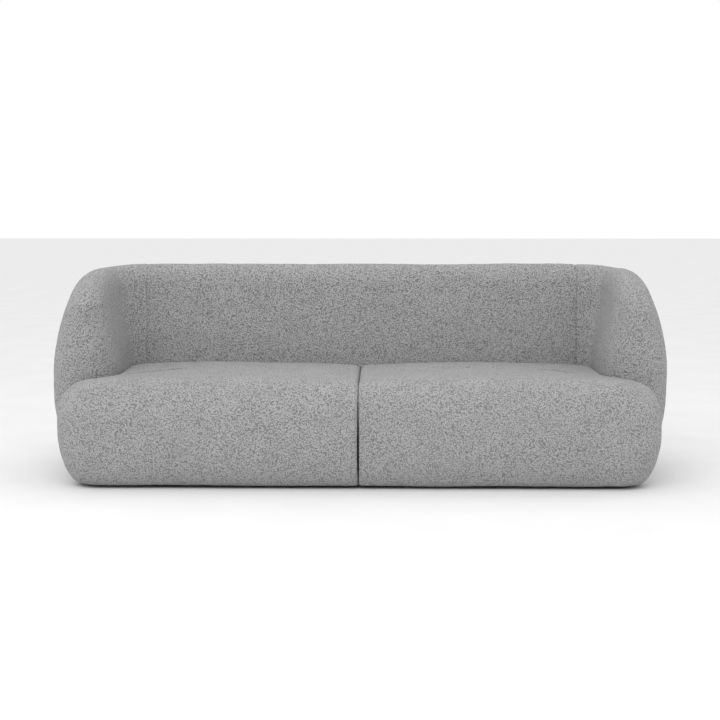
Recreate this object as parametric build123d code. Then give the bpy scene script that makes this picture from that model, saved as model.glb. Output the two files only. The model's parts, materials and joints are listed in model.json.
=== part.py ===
from build123d import *
import os
from collections import namedtuple
from math import asin, atan2, cos, degrees, radians, sin, sqrt

# Upholstered sofa: a wrap-round back and arm shell with two deep seat blocks set into it.
# Millimetres. X runs along the sofa, Y to the back, Z up; the origin is on the floor, in the middle.

# Overall sizes
overall_width = 2360.0
overall_depth = 920.0
overall_height = 800.0

# Shell section, measured from its crest line
crest_radius = 85.0
outer_bulge = 145.0
inner_bulge = 95.0
inner_face_drop = 280.0
bulge_top_z = 410.0
bulge_bottom_z = 330.0
tuck_radius = 555.0
corner_crest_radius = 150.0

# Rounded front end of each arm
nose_setback = 210.0
nose_roll = 190.0
nose_drop = 150.0
nose_gap = 3.0

# Seat blocks
seat_side_setback = 55.0
seat_edge_z = 400.0
seat_crown = 12.0
seat_widest_z = 215.0
seat_tuck = 80.0
roll_rise = 150.0
front_roll = 120.0
side_roll = 135.0
seam_roll = 28.0
back_roll = 28.0
front_corner = 130.0
rear_corner = 60.0
seam_corner = 18.0
ear_round = 0.35
least_straight = 5.0
seat_gap = 2.0
shell_gap = 1.0

# Layers, from the outside in
fabric = 3.0
layer_gap = 0.3
lining_gap = 0.5
inner_foam = 40.0
outer_foam = 22.0
crest_foam = 38.0
nose_foam = 30.0
lining = 3.0
fibre = 20.0
felt = 4.0

# Floor side
foot_height = 9.0
foot_radius = 19.0
foot_taper = 3.0
dust_cloth = 1.0

# Plywood frame of the shell
ply = 18.0
belt_depth = 22.0
belt_height = 40.0
back_rib_count = 5
arm_rib_count = 2
rib_end_margin = 60.0

# Timber frame of each seat block
rail = 22.0
rail_top_z = 255.0
front_foam_depth = 95.0
front_board = 12.0
front_board_top_z = 320.0
cross_rail_height = 70.0
corner_block = 50.0
corner_block_height = 60.0
ear_post_width = 40.0
ear_post_depth = 55.0
pad_gap = 1.0
frame_gap = 0.5
ear_root_gap = 10.0

# Sinuous springs
spring_count = 5
spring_spacing = 165.0
spring_wire = 3.8
spring_loop_width = 46.0
spring_pitch = 25.0
spring_clip_width = 14.0
spring_clip_length = 16.0
spring_clip_height = 8.0
wire_clearance = 0.2
seat_travel = 32.0
travel_margin = 0.5

# Fasteners
screw_radius = 2.0
screw_head_radius = 4.5
screw_head_height = 2.5
screw_depth = 14.0
pilot_clearance = 0.1
foot_recess = 5.0
joining_plate = 3.0
joining_plate_width = 34.0
joining_plate_margin = 12.0
joining_screw_spread = 9.0
back_plate_inset = 240.0
back_plate_spacing = 430.0
plate_foot_clearance = 25.0
bolt_radius = 4.0
bolt_head_radius = 7.5
bolt_head_height = 5.0
bolt_z = 120.0
bolt_front_y = -250.0
bolt_rear_y = 100.0
bolt_clearance = 0.3

# Worked out from the sizes above
frame_bottom_z = foot_height + dust_cloth
seat_width = overall_width - 2 * seat_side_setback
crest_x = overall_width / 2 - outer_bulge
crest_y = overall_depth / 2 - outer_bulge
corner_x = crest_x - corner_crest_radius
corner_y = crest_y - corner_crest_radius
arm_inner_x = crest_x - inner_bulge
back_inner_y = crest_y - inner_bulge
seat_front_y = -overall_depth / 2
nose_length = (outer_bulge + inner_bulge) / 2 + shell_gap - nose_gap
nose_tip_y = seat_front_y + nose_setback
nose_start_y = nose_tip_y + nose_roll
nose_x = crest_x + (outer_bulge - inner_bulge) / 2
nose_y = nose_tip_y + nose_length
crown_reach = arm_inner_x / 2
cut_margin = 40.0

Layer = namedtuple("Layer", "inner outer crest end bottom_z")


def deeper(layer, inner, outer, crest, end):
    """The layer that lies this much further in on each side."""
    return Layer(
        layer.inner + inner, layer.outer + outer, layer.crest + crest, layer.end + end, layer.bottom_z
    )


cover_face = Layer(0.0, 0.0, 0.0, 0.0, frame_bottom_z)
cover_back = deeper(cover_face, fabric, fabric, fabric, fabric)
foam_face = deeper(cover_back, layer_gap, layer_gap, layer_gap, layer_gap)
foam_back = deeper(foam_face, inner_foam, outer_foam, crest_foam, nose_foam)
lining_face = deeper(foam_back, lining_gap, lining_gap, lining_gap, lining_gap)
lining_back = deeper(lining_face, lining, lining, lining, lining)
frame_face = deeper(lining_back, layer_gap, layer_gap, layer_gap, layer_gap)


# Shell section and runs


def tuck_arc(layer, share=1.0):
    """Radius of the arc that draws the outside in towards the floor."""
    rise = bulge_bottom_z - frame_bottom_z
    radius = tuck_radius - layer.outer
    drawn_in = (radius - sqrt(radius**2 - rise**2)) * share
    return (drawn_in**2 + rise**2) / (2 * drawn_in)


def tangent_radius(reach, rise, crest):
    """Radius of a side arc that is upright at its foot and runs into the crest arc."""
    return (reach**2 + rise**2 - crest**2) / (2 * (reach - crest))


def shell_profile(layer, share=1.0, drop=0.0):
    """Section across the back or an arm: x outwards from the crest line, y up."""
    middle = (outer_bulge - layer.outer - inner_bulge + layer.inner) / 2
    inside = middle + (layer.inner - inner_bulge - middle) * share
    outside = middle + (outer_bulge - layer.outer - middle) * share
    crest_u = middle + ((layer.inner - layer.outer) / 2 - middle) * share
    crest_r = (crest_radius - (layer.inner + layer.outer) / 2) * share
    full_top = overall_height - layer.crest
    squeeze = (full_top - drop - bulge_bottom_z) / (full_top - bulge_bottom_z)
    crest_z = full_top - drop - crest_r
    outer_z = bulge_bottom_z + (bulge_top_z - bulge_bottom_z) * squeeze
    inner_z = bulge_bottom_z + (full_top - inner_face_drop - bulge_bottom_z) * squeeze
    outer_r = tangent_radius(outside - crest_u, crest_z - outer_z, crest_r)
    inner_r = tangent_radius(crest_u - inside, crest_z - inner_z, crest_r)
    outer_angle = degrees(atan2(crest_z - outer_z, crest_u - outside + outer_r))
    inner_angle = degrees(atan2(crest_z - inner_z, crest_u - inside - inner_r))
    tuck_r = tuck_arc(layer, share)
    tuck_angle = asin((bulge_bottom_z - layer.bottom_z) / tuck_r)
    floor_u = outside - tuck_r * (1 - cos(tuck_angle))
    return make_face(
        [
            CenterArc((outside - tuck_r, bulge_bottom_z), tuck_r, -degrees(tuck_angle), degrees(tuck_angle)),
            Line((outside, bulge_bottom_z), (outside, outer_z)),
            CenterArc((outside - outer_r, outer_z), outer_r, 0, outer_angle),
            CenterArc((crest_u, crest_z), crest_r, outer_angle, inner_angle - outer_angle),
            CenterArc((inside + inner_r, inner_z), inner_r, inner_angle, 180 - inner_angle),
            Line((inside, inner_z), (inside, layer.bottom_z)),
            Line((inside, layer.bottom_z), (floor_u, layer.bottom_z)),
        ]
    )


def across_back(x):
    return Plane(origin=(x, crest_y, 0), x_dir=(0, 1, 0), z_dir=(1, 0, 0))


def across_arm(y):
    return Plane(origin=(crest_x, y, 0), x_dir=(1, 0, 0), z_dir=(0, -1, 0))


def across_corner(turn):
    """Plane across the right back corner, turned from the back (0) towards the arm (90)."""
    out = (sin(radians(turn)), cos(radians(turn)), 0)
    along = (cos(radians(turn)), -sin(radians(turn)), 0)
    start = (corner_x + out[0] * corner_crest_radius, corner_y + out[1] * corner_crest_radius, 0)
    return Plane(origin=start, x_dir=out, z_dir=along)


def back_run(section, overlap=0.0):
    """The section run along the back between the two seams."""
    reach = corner_x + overlap
    return extrude(across_back(-reach) * section, 2 * reach)


def arm_run(section, overlap=0.0):
    """The section run round the right back corner and along the arm to the start of its nose."""
    corner_axis = Axis((corner_x, corner_y, 0), (0, 0, -1))
    corner = revolve(across_back(corner_x) * section, corner_axis, 90)
    arm = extrude(across_arm(corner_y) * section, corner_y - nose_start_y)
    run = corner + arm
    if overlap:
        run += extrude(across_back(corner_x - overlap) * section, overlap)
    return run


def arm_nose(layer):
    """Rounded front end of the right arm, narrowing and falling towards its tip."""
    tip_y = nose_tip_y + layer.end
    length = nose_length - layer.end
    roll = nose_roll - layer.end
    steps = [length * part for part in (0.02, 0.08, 0.2, 0.4, 0.7, 1.0)]
    steps += [(length + roll) / 2, roll]
    sections = []
    for step in steps:
        short = max(0.0, 1 - step / length)
        fall = max(0.0, 1 - step / roll)
        share = sqrt(1 - short**2)
        drop = nose_drop * (1 - sqrt(1 - fall**2))
        sections.append(across_arm(tip_y + step) * shell_profile(layer, share, drop))
    return loft(sections)


def arm_solid(layer, overlap=0.0):
    return arm_run(shell_profile(layer), overlap) + arm_nose(layer)


def back_shell(face, back):
    """The back's share of one layer, open at both seams and at the floor."""
    open_back = back._replace(bottom_z=back.bottom_z - cut_margin)
    return back_run(shell_profile(face)) - back_run(shell_profile(open_back), cut_margin)


def arm_shell(face, back):
    """The right arm's share of one layer, open at its seam and at the floor."""
    open_back = back._replace(bottom_z=back.bottom_z - cut_margin)
    return arm_solid(face) - arm_solid(open_back, cut_margin)


def mirrored(shape):
    return mirror(shape, about=Plane.YZ)


def all_round(section):
    """A section run along the back and both arms in one U."""
    arm = arm_run(section)
    return back_run(section) + arm + mirrored(arm)


def bar_section(left, right, bottom, top):
    """A rectangle in the shell's section plane."""
    middle = ((left + right) / 2, (bottom + top) / 2)
    return Pos(*middle) * Rectangle(right - left, top - bottom)


def block(x_range, y_range, z_range):
    """A box between these limits."""
    size = [high - low for low, high in (x_range, y_range, z_range)]
    middle = [(low + high) / 2 for low, high in (x_range, y_range, z_range)]
    return Pos(*middle) * Box(*size)


# Shell frame

base_inner_u = frame_face.inner - inner_bulge
base_rise = bulge_bottom_z - frame_bottom_z
base_tuck = tuck_arc(frame_face)
base_outer_u = outer_bulge - frame_face.outer - base_tuck + sqrt(base_tuck**2 - base_rise**2)
base_middle_u = (base_inner_u + base_outer_u) / 2
base_top_z = frame_bottom_z + ply
crest_core_u = (frame_face.inner - frame_face.outer) / 2
crest_core_r = crest_radius - (frame_face.inner + frame_face.outer) / 2
top_plate_z = overall_height - frame_face.crest - crest_core_r - ply
belt_outer_u = outer_bulge - frame_face.outer
belt_middle_z = (bulge_top_z + bulge_bottom_z) / 2

shell_base_plate = all_round(bar_section(base_inner_u, base_outer_u, frame_bottom_z, base_top_z))
shell_top_plate = all_round(
    bar_section(crest_core_u - crest_core_r, crest_core_u + crest_core_r, top_plate_z, top_plate_z + ply)
)
shell_belt_rail = all_round(
    bar_section(
        belt_outer_u - belt_depth,
        belt_outer_u,
        belt_middle_z - belt_height / 2,
        belt_middle_z + belt_height / 2,
    )
)
shell_dust_cover = all_round(bar_section(base_inner_u, base_outer_u, foot_height, frame_bottom_z))

rib_profile = shell_profile(frame_face._replace(bottom_z=base_top_z))
above_ribs = block(
    (-overall_width, overall_width), (-overall_depth, overall_depth), (top_plate_z, 2 * overall_height)
)


def rib(plane):
    """One plywood rib, notched for the belt rail and cut off level under the top plate."""
    return extrude(plane * rib_profile, ply / 2, both=True) - above_ribs - shell_belt_rail


def evenly(first, last, count):
    return [first + (last - first) * step / (count - 1) for step in range(count)]


back_rib_reach = corner_x - rib_end_margin
back_ribs = [rib(across_back(x)) for x in evenly(-back_rib_reach, back_rib_reach, back_rib_count)]
arm_rib_places = evenly(corner_y - rib_end_margin, nose_start_y + ply, arm_rib_count)
right_arm_ribs = [rib(across_corner(45))] + [rib(across_arm(y)) for y in arm_rib_places]


# Seat block form


def rolled(run, part):
    """How far a rolled edge has drawn in, this part of the way up its rise."""
    return run * (1 - sqrt(1 - min(1.0, max(0.0, part)) ** 2))


def seat_section(z, front, side, seam, back):
    """Plan of the right seat block at one height, drawn in by the given amounts."""
    seam_x = seat_gap / 2 + seam
    front_y = seat_front_y + front
    side_x = seat_width / 2 - side
    arm_x = arm_inner_x - shell_gap - back
    rear_y = back_inner_y - shell_gap - back
    hollow = nose_x - arm_x
    ear = ear_round * (side_x - arm_x)
    ear_x = side_x - ear
    ear_y = nose_y - sqrt((hollow + ear) ** 2 - (ear_x - nose_x) ** 2)
    to_nose = degrees(atan2(nose_y - ear_y, nose_x - ear_x))
    corner = min(front_corner, ear_y - front_y - least_straight)
    outline = make_face(
        [
            CenterArc((seam_x + seam_corner, front_y + seam_corner), seam_corner, 180, 90),
            Line((seam_x + seam_corner, front_y), (side_x - corner, front_y)),
            CenterArc((side_x - corner, front_y + corner), corner, 270, 90),
            Line((side_x, front_y + corner), (side_x, ear_y)),
            CenterArc((ear_x, ear_y), ear, 0, to_nose),
            CenterArc((nose_x, nose_y), hollow, 180 + to_nose, -to_nose),
            Line((arm_x, nose_y), (arm_x, rear_y - rear_corner)),
            CenterArc((arm_x - rear_corner, rear_y - rear_corner), rear_corner, 0, 90),
            Line((arm_x - rear_corner, rear_y), (seam_x + seam_corner, rear_y)),
            CenterArc((seam_x + seam_corner, rear_y - seam_corner), seam_corner, 90, 90),
            Line((seam_x, rear_y - seam_corner), (seam_x, front_y + seam_corner)),
        ]
    )
    return Pos(0, 0, z) * outline


def seat_block(inset):
    """The right seat block, drawn in by one inset all round, with its crowned top."""
    edge_z = seat_edge_z + seat_crown - inset
    sections = []
    for turn in (90, 75, 58, 40, 20, 0):
        z = seat_widest_z - (seat_widest_z - frame_bottom_z) * sin(radians(turn))
        drawn = seat_tuck * (1 - cos(radians(turn))) + inset
        sections.append(seat_section(z, drawn, drawn, inset, inset))
    for part in (0.0, 0.35, 0.6, 0.78, 0.9, 0.97, 1.0):
        z = edge_z - roll_rise * (1 - part)
        seam = rolled(seam_roll, (z - edge_z + seam_roll) / seam_roll) + inset
        back = rolled(back_roll, (z - edge_z + back_roll) / back_roll) + inset
        front = rolled(front_roll, part) + inset
        side = rolled(side_roll, part) + inset
        sections.append(seat_section(z, front, side, seam, back))
    crown_radius = (crown_reach**2 + seat_crown**2) / (2 * seat_crown)
    crown_z = seat_edge_z + seat_crown - crown_radius
    crown = Cylinder(crown_radius - inset, 2 * overall_depth, rotation=(90, 0, 0))
    return loft(sections) & Pos(crown_reach, 0, crown_z) * crown


# Seat block frame, right side

filling_inset = fabric + layer_gap
frame_inset = filling_inset + frame_gap
seam_rail_x = seat_gap / 2 + frame_inset
arm_rail_x = arm_inner_x - shell_gap - frame_inset
rear_rail_y = back_inner_y - shell_gap - frame_inset
front_board_y = seat_front_y + front_foam_depth
front_rail_y = front_board_y + front_board
frame_front_y = front_rail_y + rail
frame_rear_y = rear_rail_y - rail
frame_left_x = seam_rail_x + rail
frame_right_x = arm_rail_x - rail
ear_post_x = arm_rail_x + ear_post_width
ear_post_y = frame_front_y + ear_post_depth
floor_inset = seat_tuck + frame_inset
frame_plan = seat_section(frame_bottom_z, floor_inset, floor_inset, frame_inset, frame_inset)
frame_space = extrude(frame_plan, front_board_top_z - frame_bottom_z)


def timber(x_range, y_range, top_z):
    """A piece of the frame that stands at its lower edge, with ends cut to the block's round corners."""
    return block(x_range, y_range, (frame_bottom_z, top_z)) & frame_space


bolt_places = (bolt_front_y, bolt_rear_y)
bolt_holes = [
    Pos(0, y, bolt_z) * Cylinder(bolt_radius + bolt_clearance, 2 * frame_left_x, rotation=(0, 90, 0))
    for y in bolt_places
]
right_front_board = timber((seam_rail_x, ear_post_x), (front_board_y, front_rail_y), front_board_top_z)
right_front_rail = timber((seam_rail_x, ear_post_x), (front_rail_y, frame_front_y), rail_top_z)
right_rear_rail = timber((seam_rail_x, arm_rail_x), (frame_rear_y, rear_rail_y), rail_top_z)
right_seam_rail = timber((seam_rail_x, frame_left_x), (frame_front_y, frame_rear_y), rail_top_z) - bolt_holes
right_arm_rail = timber((frame_right_x, arm_rail_x), (frame_front_y, frame_rear_y), rail_top_z)
right_ear_post = timber((arm_rail_x, ear_post_x), (frame_front_y, ear_post_y), front_board_top_z)
cross_rail_x = (frame_left_x + frame_right_x) / 2
right_cross_rail = timber(
    (cross_rail_x - rail / 2, cross_rail_x + rail / 2),
    (frame_front_y, frame_rear_y),
    frame_bottom_z + cross_rail_height,
)
block_top_z = frame_bottom_z + corner_block_height
block_x_ranges = ((frame_left_x, frame_left_x + corner_block), (frame_right_x - corner_block, frame_right_x))
block_y_ranges = ((frame_front_y, frame_front_y + corner_block), (frame_rear_y - corner_block, frame_rear_y))
right_corner_blocks = [timber(x, y, block_top_z) for x in block_x_ranges for y in block_y_ranges]


# Seat springs, right side

felt_bottom_z = rail_top_z + spring_clip_height + seat_travel + travel_margin
felt_top_z = felt_bottom_z + felt
spring_end_z = rail_top_z + spring_clip_height / 2
spring_crown_z = felt_bottom_z - layer_gap - spring_wire / 2
spring_front_y = front_rail_y + rail / 2
spring_rear_y = rear_rail_y - rail / 2


def spring_path():
    """Centre line of one zigzag spring: straight cross runs joined by half turns, arched along Y."""
    runs = round((spring_rear_y - spring_front_y) / spring_pitch) + 1
    step = (spring_rear_y - spring_front_y) / (runs - 1)
    straight = (spring_loop_width - step) / 2
    middle_y = (spring_front_y + spring_rear_y) / 2
    reach = middle_y - spring_front_y
    edges = []
    for run in range(runs):
        side = 1 if run % 2 == 0 else -1
        y = spring_front_y + run * step
        z = spring_end_z + (spring_crown_z - spring_end_z) * (1 - ((y - middle_y) / reach) ** 2)
        start = Vector(-side * straight, y, z)
        end = Vector(side * straight, y, z)
        if run:
            chord = start - last_end
            bulge = last_end + chord / 2 + Vector(-side * chord.length / 2, 0, 0)
            edges.append(ThreePointArc(last_end, bulge, start))
        edges.append(Line(start, end))
        last_end = end
    return edges


path = spring_path()
spring_start = Plane(origin=path[0] @ 0, z_dir=path[0] % 0)
spring = sweep(spring_start * Circle(spring_wire / 2), path=path)
spring_middle_x = cross_rail_x
spring_places = [
    spring_middle_x + spring_spacing * (number - (spring_count - 1) / 2) for number in range(spring_count)
]
clip_hole = Cylinder(spring_wire / 2 + wire_clearance, 2 * spring_clip_width, rotation=(0, 90, 0))
spring_clip = Box(spring_clip_width, spring_clip_length, spring_clip_height) - clip_hole
right_seat_springs = [Pos(x, 0, 0) * spring for x in spring_places]
right_spring_clips = [
    Pos(x, y, spring_end_z) * spring_clip for x in spring_places for y in (spring_front_y, spring_rear_y)
]


# Seat block padding and cover, right side

pad_front_y = front_rail_y + pad_gap
filling = seat_block(filling_inset)
wrapped_foam = seat_block(filling_inset + fibre + layer_gap)
wrap_inside = seat_block(filling_inset + fibre)


def pad_space(bottom_z, top_z):
    """The space behind the front roll and between the arms, over these heights."""
    return block((0, arm_rail_x), (pad_front_y, overall_depth), (bottom_z, top_z))


right_insulator_felt = filling & pad_space(felt_bottom_z, felt_top_z)
right_seat_foam = wrapped_foam & pad_space(felt_top_z, overall_height)
right_fibre_wrap = (filling & pad_space(felt_top_z, overall_height)) - wrap_inside
behind_roll = block((0, arm_inner_x + ear_root_gap), (front_rail_y, overall_depth), (0, overall_height))
round_post = block(
    (0, ear_post_x + layer_gap), (front_board_y, ear_post_y + layer_gap), (0, front_board_top_z + layer_gap)
)
right_front_foam = filling - behind_roll - round_post
right_seat_cover = seat_block(0.0) - seat_block(fabric) - bolt_holes


# Feet, dust covers and fasteners

arm_foot_y = nose_start_y + foot_radius
arm_plate_y = arm_foot_y + foot_radius + plate_foot_clearance + joining_plate_width / 2
back_foot_reach = corner_x - rib_end_margin
seat_block_feet = [
    (frame_left_x + corner_block / 2, frame_front_y + corner_block / 2),
    (arm_rail_x + ear_post_width / 2, frame_front_y + ear_post_depth / 2),
]
seat_foot_places = seat_block_feet + [(-x, y) for x, y in seat_block_feet]
arm_foot_places = [(side * (crest_x + base_middle_u), arm_foot_y) for side in (1, -1)]
back_foot_places = [(x, crest_y + base_middle_u) for x in (-back_foot_reach, 0, back_foot_reach)]

foot = Pos(0, 0, foot_height / 2) * Cone(foot_radius - foot_taper, foot_radius, foot_height)
foot -= Pos(0, 0, foot_recess / 2) * Cylinder(screw_head_radius + pilot_clearance, foot_recess)
foot -= Pos(0, 0, foot_height / 2) * Cylinder(screw_radius + pilot_clearance, foot_height)


def screw(seat_z, top_z):
    """A pan head screw driven upwards, its head under seat_z."""
    head = Pos(0, 0, seat_z - screw_head_height / 2) * Cylinder(screw_head_radius, screw_head_height)
    return head + Pos(0, 0, (seat_z + top_z) / 2) * Cylinder(screw_radius, top_z - seat_z)


screw_top_z = frame_bottom_z + screw_depth
foot_screw = screw(foot_recess, screw_top_z)
plate_screw = screw(foot_height - joining_plate, screw_top_z)
pilot_hole = Pos(0, 0, screw_top_z / 2) * Cylinder(screw_radius + pilot_clearance, screw_top_z)
all_foot_places = seat_foot_places + arm_foot_places + back_foot_places

seat_rail_middle_y = rear_rail_y - rail / 2
arm_rail_middle_x = arm_rail_x - rail / 2
plate_back_y = crest_y + base_middle_u
plate_arm_x = crest_x + base_middle_u
joining_plates = []
plate_screw_places = []
for side in (1, -1):
    plate_z = (foot_height - joining_plate, foot_height)
    for x in (back_plate_inset, back_plate_inset + back_plate_spacing):
        half = joining_plate_width / 2
        long_range = (seat_rail_middle_y - joining_plate_margin, plate_back_y + joining_plate_margin)
        joining_plates.append(block((side * x - half, side * x + half), long_range, plate_z))
        for spread in (-joining_screw_spread, joining_screw_spread):
            plate_screw_places += [(side * x + spread, y) for y in (seat_rail_middle_y, plate_back_y)]
    long_range = sorted(
        (side * (arm_rail_middle_x - joining_plate_margin), side * (plate_arm_x + joining_plate_margin))
    )
    wide_range = (arm_plate_y - joining_plate_width / 2, arm_plate_y + joining_plate_width / 2)
    joining_plates.append(block(long_range, wide_range, plate_z))
    for spread in (-joining_screw_spread, joining_screw_spread):
        plate_screw_places += [(side * x, arm_plate_y + spread) for x in (arm_rail_middle_x, plate_arm_x)]

pilot_holes = [Pos(x, y, 0) * pilot_hole for x, y in all_foot_places + plate_screw_places]
joining_plates = [plate - pilot_holes for plate in joining_plates]

bolt_length = frame_left_x + bolt_head_height
bolt_head = RegularPolygon(bolt_head_radius, 6)
bolt = Cylinder(bolt_radius, 2 * bolt_length, rotation=(0, 90, 0))
for side in (1, -1):
    head_plane = Plane(origin=(side * frame_left_x, 0, 0), x_dir=(0, 1, 0), z_dir=(side, 0, 0))
    bolt += extrude(head_plane * bolt_head, bolt_head_height)
seat_bolts = [Pos(0, y, bolt_z) * bolt for y in bolt_places]

dust_plan = seat_section(foot_height, floor_inset, floor_inset, frame_inset, frame_inset)
right_seat_dust_cover = extrude(dust_plan, dust_cloth)


def drilled(shape):
    return shape - pilot_holes


def both_sides(name, shape):
    """The right hand node and its mirror image."""
    return {f"right_{name}": shape, f"left_{name}": mirrored(shape)}


nodes = {
    "back_cover": back_shell(cover_face, cover_back),
    "back_foam": back_shell(foam_face, foam_back),
    "back_lining_board": back_shell(lining_face, lining_back),
    "back_ribs": Compound(back_ribs),
    "shell_base_plate": drilled(shell_base_plate),
    "shell_top_plate": shell_top_plate,
    "shell_belt_rail": shell_belt_rail,
    "shell_dust_cover": drilled(shell_dust_cover),
    "seat_feet": Compound([Pos(x, y, 0) * foot for x, y in seat_foot_places]),
    "arm_feet": Compound([Pos(x, y, 0) * foot for x, y in arm_foot_places]),
    "back_feet": Compound([Pos(x, y, 0) * foot for x, y in back_foot_places]),
    "foot_screws": Compound([Pos(x, y, 0) * foot_screw for x, y in all_foot_places]),
    "joining_plates": Compound(joining_plates),
    "plate_screws": Compound([Pos(x, y, 0) * plate_screw for x, y in plate_screw_places]),
    "seat_bolts": Compound(seat_bolts),
}
nodes |= both_sides("arm_cover", arm_shell(cover_face, cover_back))
nodes |= both_sides("arm_foam", arm_shell(foam_face, foam_back))
nodes |= both_sides("arm_lining_board", arm_shell(lining_face, lining_back))
nodes |= both_sides("arm_ribs", Compound(right_arm_ribs))
nodes |= both_sides("seat_cover", right_seat_cover)
nodes |= both_sides("front_foam", right_front_foam)
nodes |= both_sides("seat_foam", right_seat_foam)
nodes |= both_sides("fibre_wrap", right_fibre_wrap)
nodes |= both_sides("insulator_felt", right_insulator_felt)
nodes |= both_sides("seat_springs", Compound(right_seat_springs))
nodes |= both_sides("spring_clips", Compound(right_spring_clips))
nodes |= both_sides("front_board", right_front_board)
nodes |= both_sides("front_rail", right_front_rail)
nodes |= both_sides("rear_rail", drilled(right_rear_rail))
nodes |= both_sides("seam_rail", right_seam_rail)
nodes |= both_sides("arm_rail", drilled(right_arm_rail))
nodes |= both_sides("cross_rail", right_cross_rail)
nodes |= both_sides("ear_post", drilled(right_ear_post))
nodes |= both_sides("corner_blocks", Compound([drilled(piece) for piece in right_corner_blocks]))
nodes |= both_sides("seat_dust_cover", drilled(right_seat_dust_cover))

os.makedirs("parts", exist_ok=True)
for name, shape in nodes.items():
    export_step(shape, f"parts/{name}.step")
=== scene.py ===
import json
import math

import bmesh
import bpy
import numpy as np
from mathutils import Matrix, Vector, noise


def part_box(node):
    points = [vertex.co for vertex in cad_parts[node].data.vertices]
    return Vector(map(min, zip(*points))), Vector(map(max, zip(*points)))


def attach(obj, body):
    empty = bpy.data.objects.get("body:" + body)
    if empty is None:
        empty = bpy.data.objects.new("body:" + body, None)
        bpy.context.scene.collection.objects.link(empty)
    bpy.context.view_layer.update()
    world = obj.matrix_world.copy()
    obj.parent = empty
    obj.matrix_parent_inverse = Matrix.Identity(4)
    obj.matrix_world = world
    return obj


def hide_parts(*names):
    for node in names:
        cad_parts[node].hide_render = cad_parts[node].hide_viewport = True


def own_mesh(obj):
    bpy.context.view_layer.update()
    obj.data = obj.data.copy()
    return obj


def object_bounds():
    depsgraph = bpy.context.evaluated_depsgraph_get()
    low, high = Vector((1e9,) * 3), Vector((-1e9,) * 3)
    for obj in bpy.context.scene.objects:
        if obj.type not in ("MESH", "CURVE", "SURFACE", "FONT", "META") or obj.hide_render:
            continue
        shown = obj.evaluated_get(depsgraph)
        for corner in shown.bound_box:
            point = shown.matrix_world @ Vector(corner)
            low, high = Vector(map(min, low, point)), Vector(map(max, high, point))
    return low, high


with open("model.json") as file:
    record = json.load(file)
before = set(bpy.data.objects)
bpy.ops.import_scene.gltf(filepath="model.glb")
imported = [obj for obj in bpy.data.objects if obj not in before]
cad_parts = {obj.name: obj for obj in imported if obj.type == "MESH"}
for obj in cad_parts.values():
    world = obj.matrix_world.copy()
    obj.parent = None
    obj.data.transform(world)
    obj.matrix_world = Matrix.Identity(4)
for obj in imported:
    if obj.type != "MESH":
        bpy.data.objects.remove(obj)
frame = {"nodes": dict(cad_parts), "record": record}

cad_box = [[float(number) for number in corner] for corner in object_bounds()]


# Looped cloth that covers the whole sofa: a wool mix yarn spun into small curls. Its colour carries painted
# light on the tops of the loops and painted shade between them. It is woven once and cut into all five
# covers.
class Value:
    """A shader socket that takes part in Python arithmetic."""

    def __init__(self, finish, socket):
        self.finish = finish
        self.socket = socket

    def worked(self, operation, first, second):
        return self.finish.add("ShaderNodeMath", {"operation": operation}, {0: first, 1: second})

    def __add__(self, other):
        return self.worked("ADD", self, other)

    def __radd__(self, other):
        return self.worked("ADD", other, self)

    def __sub__(self, other):
        return self.worked("SUBTRACT", self, other)

    def __rsub__(self, other):
        return self.worked("SUBTRACT", other, self)

    def __mul__(self, other):
        return self.worked("MULTIPLY", self, other)

    def __rmul__(self, other):
        return self.worked("MULTIPLY", other, self)


class Finish:
    """One material: a Principled shader with its constants, and nodes that are added by kind."""

    def __init__(self, name, **constants):
        self.material = bpy.data.materials.new(name)
        self.material.use_nodes = True
        self.tree = self.material.node_tree
        self.shader = self.tree.nodes["Principled BSDF"]
        for socket, number in constants.items():
            self.shader.inputs[socket.replace("_", " ")].default_value = number

    def add(self, kind, settings, sockets, output=0):
        node = self.tree.nodes.new(kind)
        for name, setting in settings.items():
            if name == "stops":
                ramp = node.color_ramp
                while len(ramp.elements) < len(setting):
                    ramp.elements.new(1.0)
                for element, (position, shade) in zip(ramp.elements, setting):
                    element.position = position
                    element.color = (*shade, 1.0)
            else:
                setattr(node, name, setting)
        for socket, content in sockets.items():
            if isinstance(content, Value):
                self.tree.links.new(content.socket, node.inputs[socket])
            else:
                node.inputs[socket].default_value = content
        return Value(self, node.outputs[output])

    def feed(self, socket, value):
        self.tree.links.new(value.socket, self.shader.inputs[socket])

    def place(self):
        return self.add("ShaderNodeTexCoord", {}, {}, "Object")

    def bump(self, height, strength, distance):
        sockets = {"Strength": strength, "Distance": distance, "Height": height}
        self.feed("Normal", self.add("ShaderNodeBump", {}, sockets))


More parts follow.
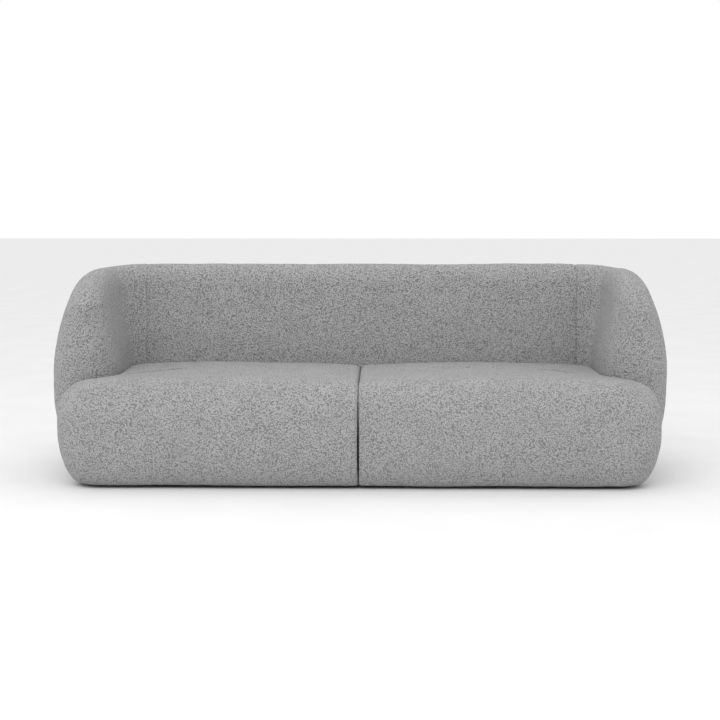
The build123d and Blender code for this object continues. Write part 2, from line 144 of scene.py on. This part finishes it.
def looped_cloth(name, greys_with_painted_shade):
    """Curled yarn: wandering cells for the loops, a ring in each cell, and fine fibre on top; the colour
    follows the loop height, painted light on the tops and painted shade between.
    """
    loops_per_metre = 200.0
    yarn_wander = 0.004
    cloth = Finish(name, Roughness=0.94, Sheen_Weight=0.22, Sheen_Roughness=0.55, Specular_IOR_Level=0.18)
    place = cloth.place()
    drift = cloth.add("ShaderNodeTexNoise", {}, {"Vector": place, "Scale": 130.0, "Detail": 2.0}, "Color")
    stretch = (yarn_wander, yarn_wander, yarn_wander)
    wandering = cloth.add(
        "ShaderNodeVectorMath", {"operation": "MULTIPLY_ADD"}, {0: drift, 1: stretch, 2: place}, "Vector"
    )
    spacing = {"Vector": wandering, "Scale": loops_per_metre}
    cell = cloth.add("ShaderNodeTexVoronoi", {"feature": "F1"}, spacing, "Distance")
    fibre = cloth.add("ShaderNodeTexNoise", {}, {"Vector": place, "Scale": 620.0, "Detail": 3.0}, 0)
    patch = cloth.add("ShaderNodeTexNoise", {}, {"Vector": place, "Scale": 9.0, "Detail": 3.0}, 0)
    curl = 1.0 - 7.0 * ((cell - 0.34) * (cell - 0.34))
    # Loop height: relief for the bump, and in the colour painted light on the loop tops and painted shade
    # between them.
    loop_height_and_painted_shade = (1.0 - cell) * 0.62 + curl * 0.24 + fibre * 0.3
    tone_with_painted_shade = loop_height_and_painted_shade + (patch - 0.5) * 0.16
    cloth.feed("Base Color", cloth.add("ShaderNodeValToRGB", {"stops": greys_with_painted_shade}, {"Fac": tone_with_painted_shade}))
    cloth.bump(loop_height_and_painted_shade, 0.8, 0.004)
    return cloth.material


def grey(level):
    """A colour with no hue."""
    return (level, level, level)


# Greys of the cloth, from the painted shade between the loops up to the painted light on the loop tops.
cloth_greys_with_painted_shade = [(0.40, grey(0.23)), (0.62, grey(0.35)), (0.80, grey(0.43)), (0.98, grey(0.54))]
boucle = looped_cloth("looped_cloth", cloth_greys_with_painted_shade)


# Back cover: one long panel sewn to the arm covers at two upright seams, drawn over foam from
# the floor behind, across the rounded crest and down the inside to behind the seats.
crest_radius = 0.085
outer_bulge = 0.145
inner_bulge = 0.095
inner_face_drop = 0.280
bulge_top = 0.410
bulge_bottom = 0.330
tuck_radius = 0.555
corner_radius = 0.150
inner_line_points = 46
inner_arc_points = 22
crest_points = 24
floor_points = 12
back_low, back_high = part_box("back_cover")
seam_x = float(back_high[0])
floor_edge = float(back_low[2])
crest_top = float(back_high[2])
crest_y = float(back_high[1]) - outer_bulge


def arc(centre, radius, start, end, count):
    """Points along an arc, its end left for the next stretch."""
    angles = np.linspace(start, end, count, endpoint=False)
    return np.stack([centre[0] + radius * np.cos(angles), centre[1] + radius * np.sin(angles)], 1)


def straight(start, end, count):
    """Points along a line, its end left for the next stretch."""
    shares = np.linspace(0.0, 1.0, count, endpoint=False)[:, None]
    return np.array(start) * (1 - shares) + np.array(end) * shares


def shell_section(share=1.0, drop=0.0):
    """Closed section of the shell: out from the crest line and up, starting at the inside foot."""
    middle = (outer_bulge - inner_bulge) / 2
    inside = middle - (inner_bulge + middle) * share
    outside = middle + (outer_bulge - middle) * share
    crest_u = middle * (1 - share)
    crest_r = crest_radius * share
    squeeze = (crest_top - drop - bulge_bottom) / (crest_top - bulge_bottom)
    crest_z = crest_top - drop - crest_r
    outer_z = bulge_bottom + (bulge_top - bulge_bottom) * squeeze
    inner_z = bulge_bottom + (crest_top - inner_face_drop - bulge_bottom) * squeeze

    def side_radius(reach, rise):
        return (reach**2 + rise**2 - crest_r**2) / (2 * (reach - crest_r))

    outer_r = side_radius(outside - crest_u, crest_z - outer_z)
    inner_r = side_radius(crest_u - inside, crest_z - inner_z)
    outer_angle = math.atan2(crest_z - outer_z, crest_u - outside + outer_r)
    inner_angle = math.atan2(crest_z - inner_z, crest_u - inside - inner_r)
    rise = bulge_bottom - floor_edge
    tuck = (tuck_radius - math.sqrt(tuck_radius**2 - rise**2)) * share
    tuck_r = (tuck**2 + rise**2) / (2 * tuck)
    foot = (outside - tuck, floor_edge)
    return np.concatenate(
        [
            straight((inside, floor_edge), (inside, inner_z), inner_line_points),
            arc((inside + inner_r, inner_z), inner_r, math.pi, inner_angle, inner_arc_points),
            arc((crest_u, crest_z), crest_r, inner_angle, outer_angle, crest_points),
            arc((outside - outer_r, outer_z), outer_r, outer_angle, 0.0, 34),
            straight((outside, outer_z), (outside, bulge_bottom), 8),
            arc((outside - tuck_r, bulge_bottom), tuck_r, 0.0, -math.asin(rise / tuck_r), 32),
            straight(foot, (inside, floor_edge), floor_points),
        ]
    )


def lofted(name, rings):
    """A closed skin through rings of points, with both ends closed."""
    count = len(rings[0])
    mesh = bpy.data.meshes.new(name)
    faces = []
    for row in range(len(rings) - 1):
        low, high = row * count, (row + 1) * count
        for step in range(count):
            after = (step + 1) % count
            faces.append((low + step, low + after, high + after, high + step))
    faces.append(tuple(range(count)))
    faces.append(tuple(range((len(rings) - 1) * count, len(rings) * count)))
    mesh.from_pydata([tuple(point) for ring in rings for point in ring], [], faces)
    work = bmesh.new()
    work.from_mesh(mesh)
    bmesh.ops.remove_doubles(work, verts=work.verts, dist=0.0002)
    bmesh.ops.recalc_face_normals(work, faces=work.faces)
    if work.calc_volume(signed=True) < 0:
        bmesh.ops.reverse_faces(work, faces=work.faces)
    work.to_mesh(mesh)
    work.free()
    mesh.shade_smooth()
    piece = bpy.data.objects.new(name, mesh)
    bpy.context.collection.objects.link(piece)
    return piece


def upright_ring(origin, outwards, section):
    """A section stood up at a point of the plan, facing outwards."""
    flat = np.array(origin) + np.outer(section[:, 0], np.array(outwards))
    return np.column_stack([flat, section[:, 1]])


dent_depths_by_count = {3.1: 0.0034, 9.0: 0.0016, 46.0: 0.0009}
seam_groove = 0.0032
seam_groove_width = 0.006
seam_hollow = 0.0018
seam_hollow_width = 0.05
pucker_share = 0.35
puckers_per_metre = 34.0


def dented(place, normal, plump):
    """How far hand-filled padding stands out: shallow dents all over and a fuller top."""
    dent = sum(depth * noise.noise(place * count) for count, depth in dent_depths_by_count.items())
    return dent + plump * max(normal.z, 0.0) ** 2


def drawn_in(place, plane):
    """How far the cloth is pulled in beside an upright seam, with the small puckers of its stitches."""
    away = abs(place.x - plane)
    along = Vector((place.z * puckers_per_metre, place.y * puckers_per_metre, plane))
    pucker = 1.0 + pucker_share * noise.noise(along)
    groove = seam_groove * pucker * math.exp(-((away / seam_groove_width) ** 2))
    return groove + seam_hollow * math.exp(-((away / seam_hollow_width) ** 2))


def softened(piece, seam_planes, plump):
    """Moves the skin like filled padding; the edge on a seam stays in the seam's own plane."""
    places = [vertex.co.copy() for vertex in piece.data.vertices]
    normals = [vertex.normal.copy() for vertex in piece.data.vertices]
    moved = []
    for place, normal in zip(places, normals):
        for plane in seam_planes:
            if abs(place.x - plane) < 0.0005:
                normal.x = 0.0
                normal.normalize()
        move = dented(place, normal, plump) - sum(drawn_in(place, plane) for plane in seam_planes)
        moved.extend(place + normal * move)
    piece.data.vertices.foreach_set("co", moved)
    piece.data.update()


def spaced(start, end, step, fine=(0.0, 0.003, 0.006, 0.010, 0.016, 0.024)):
    """Places from a seam at both ends: close together at the seams, even between."""
    clear_of_start = 0.034
    clear_of_end = 0.033
    between = np.arange(start + clear_of_start, end - clear_of_end, step)
    return [start + away for away in fine] + list(between) + [end - away for away in reversed(fine)]


def leaned(section, amount):
    """Eases the inside of a section outwards above the seat, so that it reclines and its top is soft."""
    inside = section[0, 0]
    crest_u = section[inner_line_points + inner_arc_points + crest_points // 2, 0]
    inwards = np.clip((crest_u - section[:, 0]) / (crest_u - inside), 0.0, 1.0)
    height = np.clip((section[:, 1] - seat_level) / lean_rise, 0.0, 1.0)
    eased = section.copy()
    eased[:, 0] += amount * inwards * height**2 * (3 - 2 * height)
    return eased


crest_plump = 0.008
seat_level = 0.400
lean_rise = 0.300
back_lean = 0.016
back_ring_step = 0.0115
back_places = spaced(-seam_x, seam_x, back_ring_step)
full_section = leaned(shell_section(), back_lean)
back_rings = [upright_ring((x, crest_y), (0.0, 1.0), full_section) for x in back_places]
back = lofted("back_cover_cloth", back_rings)
softened(back, (-seam_x, seam_x), crest_plump)
back.data.materials.append(boucle)
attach(back, "frame")
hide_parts("back_cover", "back_foam")


# Arm covers: each is one panel that starts at the back seam, turns the corner and closes over
# the arm's rounded front end. The same looped cloth over foam, a mirrored pair.
nose_roll = 0.340
nose_drop = 0.165
arm_lean = 0.032
arm_drop = 0.012
nose_setback = 0.210
nose_tip_y = cad_box[0][1] + nose_setback
nose_length = 0.118
arm_ring_step = 0.011
crest_x = seam_x + corner_radius
corner_y = crest_y - corner_radius


def arm_rings(side):
    """Sections of one arm: round the back corner, along the arm and through its rounded end."""
    rings = []
    for turn in [0.0, 1.2, 2.4, 4.0, 6.5] + list(np.linspace(9.0, 90.0, 26)):
        out = (math.sin(math.radians(turn)) * side, math.cos(math.radians(turn)))
        origin = (side * seam_x + out[0] * corner_radius, corner_y + out[1] * corner_radius)
        turned = (turn / 90) ** 2 * (3 - 2 * turn / 90)
        lean = back_lean + (arm_lean - back_lean) * turned
        rings.append(upright_ring(origin, out, leaned(shell_section(1.0, arm_drop * turned), lean)))
    start_y = nose_tip_y + nose_roll
    arm_section = leaned(shell_section(1.0, arm_drop), arm_lean)
    for y in np.arange(corner_y - arm_ring_step, start_y, -arm_ring_step):
        rings.append(upright_ring((side * crest_x, y), (side, 0.0), arm_section))
    for step in nose_roll * (1 - np.sin(np.linspace(0.0, math.pi / 2 * 0.985, 56))):
        short = max(0.0, 1 - step / nose_length)
        fall = max(0.0, 1 - step / nose_roll)
        share = math.sqrt(max(1 - short**2, 0.0004))
        drop = arm_drop + (nose_drop - arm_drop) * (1 - math.sqrt(1 - fall**2))
        section = leaned(shell_section(share, drop), arm_lean * share)
        rings.append(upright_ring((side * crest_x, nose_tip_y + step), (side, 0.0), section))
    return rings


for side, word in ((-1, "left"), (1, "right")):
    arm = lofted(f"{word}_arm_cover_cloth", arm_rings(side))
    softened(arm, (side * seam_x,), crest_plump)
    arm.data.materials.append(boucle)
    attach(arm, "frame")
    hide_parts(f"{word}_arm_cover", f"{word}_arm_foam")


# Seat blocks: each cover is a fitted bag over foam and springs, full to the floor, with a rolled
# front, a crowned top and an ear that wraps the front of the arm. They meet in the middle.
seat_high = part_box("right_seat_cover")[1]
seat_front_y = cad_box[0][1]
seat_side_x = float(seat_high[0])
seat_top = float(seat_high[2])
seat_crown = 0.012
seat_widest = 0.215
seat_tuck = 0.080
roll_rise = 0.150
front_roll = 0.120
side_roll = 0.135
small_roll = 0.028
front_corner = 0.130
rear_corner = 0.060
seam_corner = 0.018
ear_round = 0.35
seam_gap = 0.0008
shell_gap = 0.001
least_straight = 0.005
seat_pillow = 0.003
spine_start_x = 0.27
spine_end_x = 0.68
spine_setback = 0.03
arm_face_x = crest_x - inner_bulge - shell_gap
back_face_y = crest_y - inner_bulge - shell_gap
nose_x = crest_x + (outer_bulge - inner_bulge) / 2
nose_y = nose_tip_y + nose_length
crown_middle = (arm_face_x + shell_gap) / 2
crown_bend = (crown_middle**2 + seat_crown**2) / seat_crown


def seat_outline(front, side, seam, back_inset):
    """Plan of the right seat block, drawn in by the given amounts."""
    seam_edge = seam_gap + seam
    front_y = seat_front_y + front
    side_x = seat_side_x - side
    arm_x = arm_face_x - back_inset
    rear_y = back_face_y - back_inset
    hollow = nose_x - arm_x
    ear = ear_round * (side_x - arm_x)
    ear_x = side_x - ear
    ear_y = nose_y - math.sqrt((hollow + ear) ** 2 - (ear_x - nose_x) ** 2)
    to_nose = math.atan2(nose_y - ear_y, nose_x - ear_x)
    corner = min(front_corner, ear_y - front_y - least_straight)
    quarter = math.pi / 2
    small = seam_corner
    return np.concatenate(
        [
            arc((seam_edge + small, front_y + small), small, 2 * quarter, 3 * quarter, 7),
            straight((seam_edge + small, front_y), (side_x - corner, front_y), 96),
            arc((side_x - corner, front_y + corner), corner, 3 * quarter, 4 * quarter, 22),
            straight((side_x, front_y + corner), (side_x, ear_y), 4),
            arc((ear_x, ear_y), ear, 0.0, to_nose, 14),
            arc((nose_x, nose_y), hollow, math.pi + to_nose, math.pi, 20),
            straight((arm_x, nose_y), (arm_x, rear_y - rear_corner), 28),
            arc((arm_x - rear_corner, rear_y - rear_corner), rear_corner, 0.0, quarter, 12),
            straight((arm_x - rear_corner, rear_y), (seam_edge + small, rear_y), 84),
            arc((seam_edge + small, rear_y - small), small, quarter, 2 * quarter, 7),
            straight((seam_edge, rear_y - small), (seam_edge, front_y + small), 62),
        ]
    )


def rolled(run, part):
    """How far a rounded edge is drawn in, at a part of its rise."""
    return run * (1 - math.sqrt(1 - min(1.0, max(0.0, part)) ** 2))


def crowned(plan, z, weight):
    """A plan at one height, bent down away from the middle of the seat."""
    fall = weight * (plan[:, 0] - crown_middle) ** 2 / crown_bend
    return np.column_stack([plan, z - fall])


def seat_rings():
    """Outlines of the right seat block: up its sides, over its rolled edge and in across its top."""
    rings = []
    for turn in np.linspace(math.pi / 2, 0.0, 16):
        z = seat_widest - (seat_widest - floor_edge) * math.sin(turn)
        drawn = seat_tuck * (1 - math.cos(turn))
        rings.append(crowned(seat_outline(drawn, drawn, 0.0, 0.0), z, 0.0))
    for turn in np.linspace(0.0, math.pi / 2, 26):
        part = math.sin(turn)
        z = seat_top - roll_rise * (1 - part)
        small = rolled(small_roll, (z - seat_top + small_roll) / small_roll)
        plan = seat_outline(rolled(front_roll, part), rolled(side_roll, part), small, small)
        rings.append(crowned(plan, z, part**6))
    rim = plan
    middle_y = (rim[:, 1].min() + rim[:, 1].max()) / 2 + spine_setback
    spine = np.column_stack([np.clip(rim[:, 0], spine_start_x, spine_end_x), np.full(len(rim), middle_y)])
    for share in np.linspace(0.0, 0.96, 34)[1:]:
        z = seat_top + seat_pillow * share * (2 - share)
        rings.append(crowned(rim * (1 - share) + spine * share, z, 1.0))
    return rings


for side, word in ((-1, "left"), (1, "right")):
    rings = [ring * np.array([side, 1.0, 1.0]) for ring in seat_rings()]
    seat = lofted(f"{word}_seat_cover_cloth", rings)
    softened(seat, (), 0.0)
    seat.data.materials.append(boucle)
    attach(seat, "frame")
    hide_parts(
        f"{word}_seat_cover", f"{word}_front_foam", f"{word}_seat_foam", f"{word}_fibre_wrap"
    )
    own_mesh(seat)


# Seam thread: short lock stitches of spun polyester that close the two upright seams, sunk in the
# groove between the panels from behind the seat, over the crest and down the outside.
stitch_length = 0.0075
thread_thickness = 0.0012
thread = Finish("seam_thread", Roughness=0.8)
twist = thread.add("ShaderNodeTexNoise", {}, {"Vector": thread.place(), "Scale": 900.0}, 0)
thread_shades = {"stops": [(0.3, grey(0.20)), (0.7, grey(0.32))]}
thread.feed("Base Color", thread.add("ShaderNodeValToRGB", thread_shades, {"Fac": twist}))


def stitch_tree():
    """Resamples a seam line and lays one rounded stitch along it at every point."""
    tree = bpy.data.node_groups.new("seam_stitches", "GeometryNodeTree")
    tree.interface.new_socket("Seam", in_out="INPUT", socket_type="NodeSocketGeometry")
    length = tree.interface.new_socket("Stitch Length", in_out="INPUT", socket_type="NodeSocketFloat")
    thickness = tree.interface.new_socket("Thread Thickness", in_out="INPUT", socket_type="NodeSocketFloat")
    tree.interface.new_socket("Stitches", in_out="OUTPUT", socket_type="NodeSocketGeometry")
    nodes, links = tree.nodes, tree.links
    source = nodes.new("NodeGroupInput")
    result = nodes.new("NodeGroupOutput")
    resample = nodes.new("GeometryNodeResampleCurve")
    resample.mode = "LENGTH"
    tangent = nodes.new("GeometryNodeInputTangent")
    align = nodes.new("FunctionNodeAlignRotationToVector")
    align.axis = "Z"
    bead = nodes.new("GeometryNodeMeshUVSphere")
    bead.inputs["Segments"].default_value = 6
    bead.inputs["Rings"].default_value = 5
    bead.inputs["Radius"].default_value = 0.5
    size = nodes.new("ShaderNodeCombineXYZ")
    shorter = nodes.new("ShaderNodeMath")
    shorter.operation = "MULTIPLY"
    shorter.inputs[1].default_value = 0.82
    place = nodes.new("GeometryNodeInstanceOnPoints")
    realize = nodes.new("GeometryNodeRealizeInstances")
    paint = nodes.new("GeometryNodeSetMaterial")
    paint.inputs["Material"].default_value = thread.material
    links.new(source.outputs["Seam"], resample.inputs["Curve"])
    links.new(source.outputs["Stitch Length"], resample.inputs["Length"])
    links.new(source.outputs["Stitch Length"], shorter.inputs[0])
    links.new(source.outputs["Thread Thickness"], size.inputs["X"])
    links.new(source.outputs["Thread Thickness"], size.inputs["Y"])
    links.new(shorter.outputs[0], size.inputs["Z"])
    links.new(tangent.outputs[0], align.inputs["Vector"])
    links.new(resample.outputs["Curve"], place.inputs["Points"])
    links.new(bead.outputs["Mesh"], place.inputs["Instance"])
    links.new(align.outputs["Rotation"], place.inputs["Rotation"])
    links.new(size.outputs["Vector"], place.inputs["Scale"])
    links.new(place.outputs["Instances"], realize.inputs["Geometry"])
    links.new(realize.outputs["Geometry"], paint.inputs["Geometry"])
    links.new(paint.outputs["Geometry"], result.inputs["Stitches"])
    return tree, {length.identifier: stitch_length, thickness.identifier: thread_thickness}


def seam_line(side):
    """The seam's route over the shell, sunk to the bottom of its groove."""
    route = full_section[:-floor_points]
    along = np.gradient(route, axis=0)
    outwards = np.column_stack([-along[:, 1], along[:, 0]])
    outwards /= np.linalg.norm(outwards, axis=1)[:, None]
    curve = bpy.data.curves.new("seam_line", "CURVE")
    curve.dimensions = "3D"
    spline = curve.splines.new("POLY")
    spline.points.add(len(route) - 1)
    for point, (u, z), (out_u, out_z) in zip(spline.points, route, outwards):
        place = Vector((side * seam_x, crest_y + u, z))
        normal = Vector((0.0, out_u, out_z))
        move = dented(place, normal, crest_plump) - drawn_in(place, side * seam_x)
        point.co = (*(place + normal * move), 1.0)
    return curve


stitches_tree, stitch_sizes = stitch_tree()
for side, word in ((-1, "left"), (1, "right")):
    guide = bpy.data.objects.new("seam_guide", seam_line(side))
    bpy.context.collection.objects.link(guide)
    modifier = guide.modifiers.new("stitches", "NODES")
    modifier.node_group = stitches_tree
    for identifier, number in stitch_sizes.items():
        modifier[identifier] = number
    evaluated = guide.evaluated_get(bpy.context.evaluated_depsgraph_get())
    stitched = bpy.data.meshes.new_from_object(evaluated)
    bpy.data.objects.remove(guide)
    stitches = bpy.data.objects.new(f"{word}_seam_stitches", stitched)
    bpy.context.collection.objects.link(stitches)
    stitches.data.shade_smooth()
    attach(stitches, "frame")


# Frame, padding, fixings and feet: plywood and pine inside, springs and zinc fixings, black
# dust cloth and moulded glides below. They keep their CAD shapes and get their own finishes.
def mottled(name, dark, light, scale, roughness, bump=0.2, distance=0.001, metallic=0.0, stretch=(1, 1, 1)):
    """A surface that varies between two tones, with relief to match."""
    finish = Finish(name, Roughness=roughness, Metallic=metallic)
    spread = finish.add("ShaderNodeMapping", {}, {"Vector": finish.place(), "Scale": stretch})
    grain = finish.add("ShaderNodeTexNoise", {}, {"Vector": spread, "Scale": scale, "Detail": 5.0}, 0)
    ramp = {"stops": [(0.34, dark), (0.66, light)]}
    finish.feed("Base Color", finish.add("ShaderNodeValToRGB", ramp, {"Fac": grain}))
    finish.feed("Roughness", grain * 0.2 + (roughness - 0.1))
    finish.bump(grain, bump, distance)
    return finish.material


ply_light = (0.66, 0.50, 0.29)
ply_dark = (0.50, 0.34, 0.17)
finishes = {
    "boucle": boucle,
    "foam": mottled("seat_foam", (0.70, 0.62, 0.36), (0.84, 0.77, 0.52), 400.0, 0.9),
    "fibre": mottled("fibre_wadding", grey(0.72), grey(0.88), 260.0, 0.95, 0.5, 0.002),
    "felt": mottled("needle_felt", (0.07, 0.065, 0.06), (0.20, 0.19, 0.18), 300.0, 0.95, 0.5, 0.002),
    "board": mottled("bending_board", (0.26, 0.16, 0.08), (0.38, 0.25, 0.14), 90.0, 0.7, stretch=(1, 1, 9)),
    "plywood": mottled("birch_plywood", ply_dark, ply_light, 40.0, 0.6, stretch=(1, 6, 12)),
    "timber": mottled("pine_timber", (0.46, 0.28, 0.12), (0.64, 0.44, 0.22), 22.0, 0.6, stretch=(1, 10, 10)),
    "spring_steel": mottled("spring_steel", grey(0.18), grey(0.28), 160.0, 0.4, 0.1, 0.0003, 1.0),
    "zinc_steel": mottled("zinc_steel", grey(0.48), grey(0.62), 220.0, 0.35, 0.1, 0.0003, 1.0),
    "dust_cloth": mottled("black_dust_cloth", grey(0.008), grey(0.024), 700.0, 0.9, 0.5, 0.0006),
    "glide_plastic": mottled("black_glide_plastic", grey(0.012), grey(0.022), 380.0, 0.5, 0.15, 0.0004),
}
for subpart in frame["record"]["subparts"]:
    node = frame["nodes"][subpart["node"]]
    node.data.materials.clear()
    node.data.materials.append(finishes[subpart["material_slot"]])


# Studio: a pale floor that runs back to a white room, even light from all sides and a broad soft
# lamp above the front, as for a catalogue picture.
floor_mesh = bpy.data.meshes.new("studio_floor")
reach = 60.0
floor_corners = [(-reach, -reach, 0), (reach, -reach, 0), (reach, reach, 0), (-reach, reach, 0)]
floor_mesh.from_pydata(floor_corners, [], [(0, 1, 2, 3)])
floor = bpy.data.objects.new("studio_floor", floor_mesh)
bpy.context.collection.objects.link(floor)
paint = Finish("studio_floor_paint", Roughness=0.95, Specular_IOR_Level=0.0)
cloud = paint.add("ShaderNodeTexNoise", {}, {"Vector": paint.place(), "Scale": 3.0}, 0)
paint_shades = {"stops": [(0.3, grey(0.85)), (0.7, grey(0.88))]}
paint.feed("Base Color", paint.add("ShaderNodeValToRGB", paint_shades, {"Fac": cloud}))
floor.data.materials.append(paint.material)

world = bpy.data.worlds.new("studio_room")
world.use_nodes = True
room = world.node_tree
seen_white = room.nodes["Background"]
seen_white.inputs["Color"].default_value = (1.0, 1.0, 1.0, 1.0)
ceiling_light = room.nodes.new("ShaderNodeBackground")
direction = room.nodes.new("ShaderNodeTexCoord")
upwards = room.nodes.new("ShaderNodeSeparateXYZ")
brighter_above = room.nodes.new("ShaderNodeMapRange")
brighter_above.inputs["To Min"].default_value = 0.62
brighter_above.inputs["To Max"].default_value = 1.5
ray = room.nodes.new("ShaderNodeLightPath")
either = room.nodes.new("ShaderNodeMixShader")
room.links.new(direction.outputs["Generated"], upwards.inputs[0])
room.links.new(upwards.outputs["Z"], brighter_above.inputs["Value"])
room.links.new(brighter_above.outputs["Result"], ceiling_light.inputs["Strength"])
room.links.new(ray.outputs["Is Camera Ray"], either.inputs["Fac"])
room.links.new(ceiling_light.outputs[0], either.inputs[1])
room.links.new(seen_white.outputs[0], either.inputs[2])
room.links.new(either.outputs[0], room.nodes["World Output"].inputs["Surface"])
bpy.context.scene.world = world

lamp_data = bpy.data.lights.new("front_softbox", "AREA")
lamp_data.shape = "RECTANGLE"
lamp_data.size = 5.0
lamp_data.size_y = 3.0
lamp_data.energy = 115.0
lamp = bpy.data.objects.new("front_softbox", lamp_data)
lamp.location = (-0.8, -4.6, 4.4)
lamp.rotation_euler = (Vector((0.0, 0.0, 0.4)) - lamp.location).to_track_quat("-Z", "Y").to_euler()
bpy.context.collection.objects.link(lamp)

camera_data = bpy.data.cameras.new("catalogue_camera")
camera_data.sensor_width = 36.0
camera_data.lens = 68.3
camera = bpy.data.objects.new("catalogue_camera", camera_data)
camera.location = (0.09, -5.37, 1.0)
camera_tilt = 5.96
camera_turn = 0.96
camera.rotation_euler = (math.radians(90.0 - camera_tilt), 0.0, math.radians(camera_turn))
bpy.context.collection.objects.link(camera)
bpy.context.scene.camera = camera
bpy.context.scene.view_settings.view_transform = "Standard"
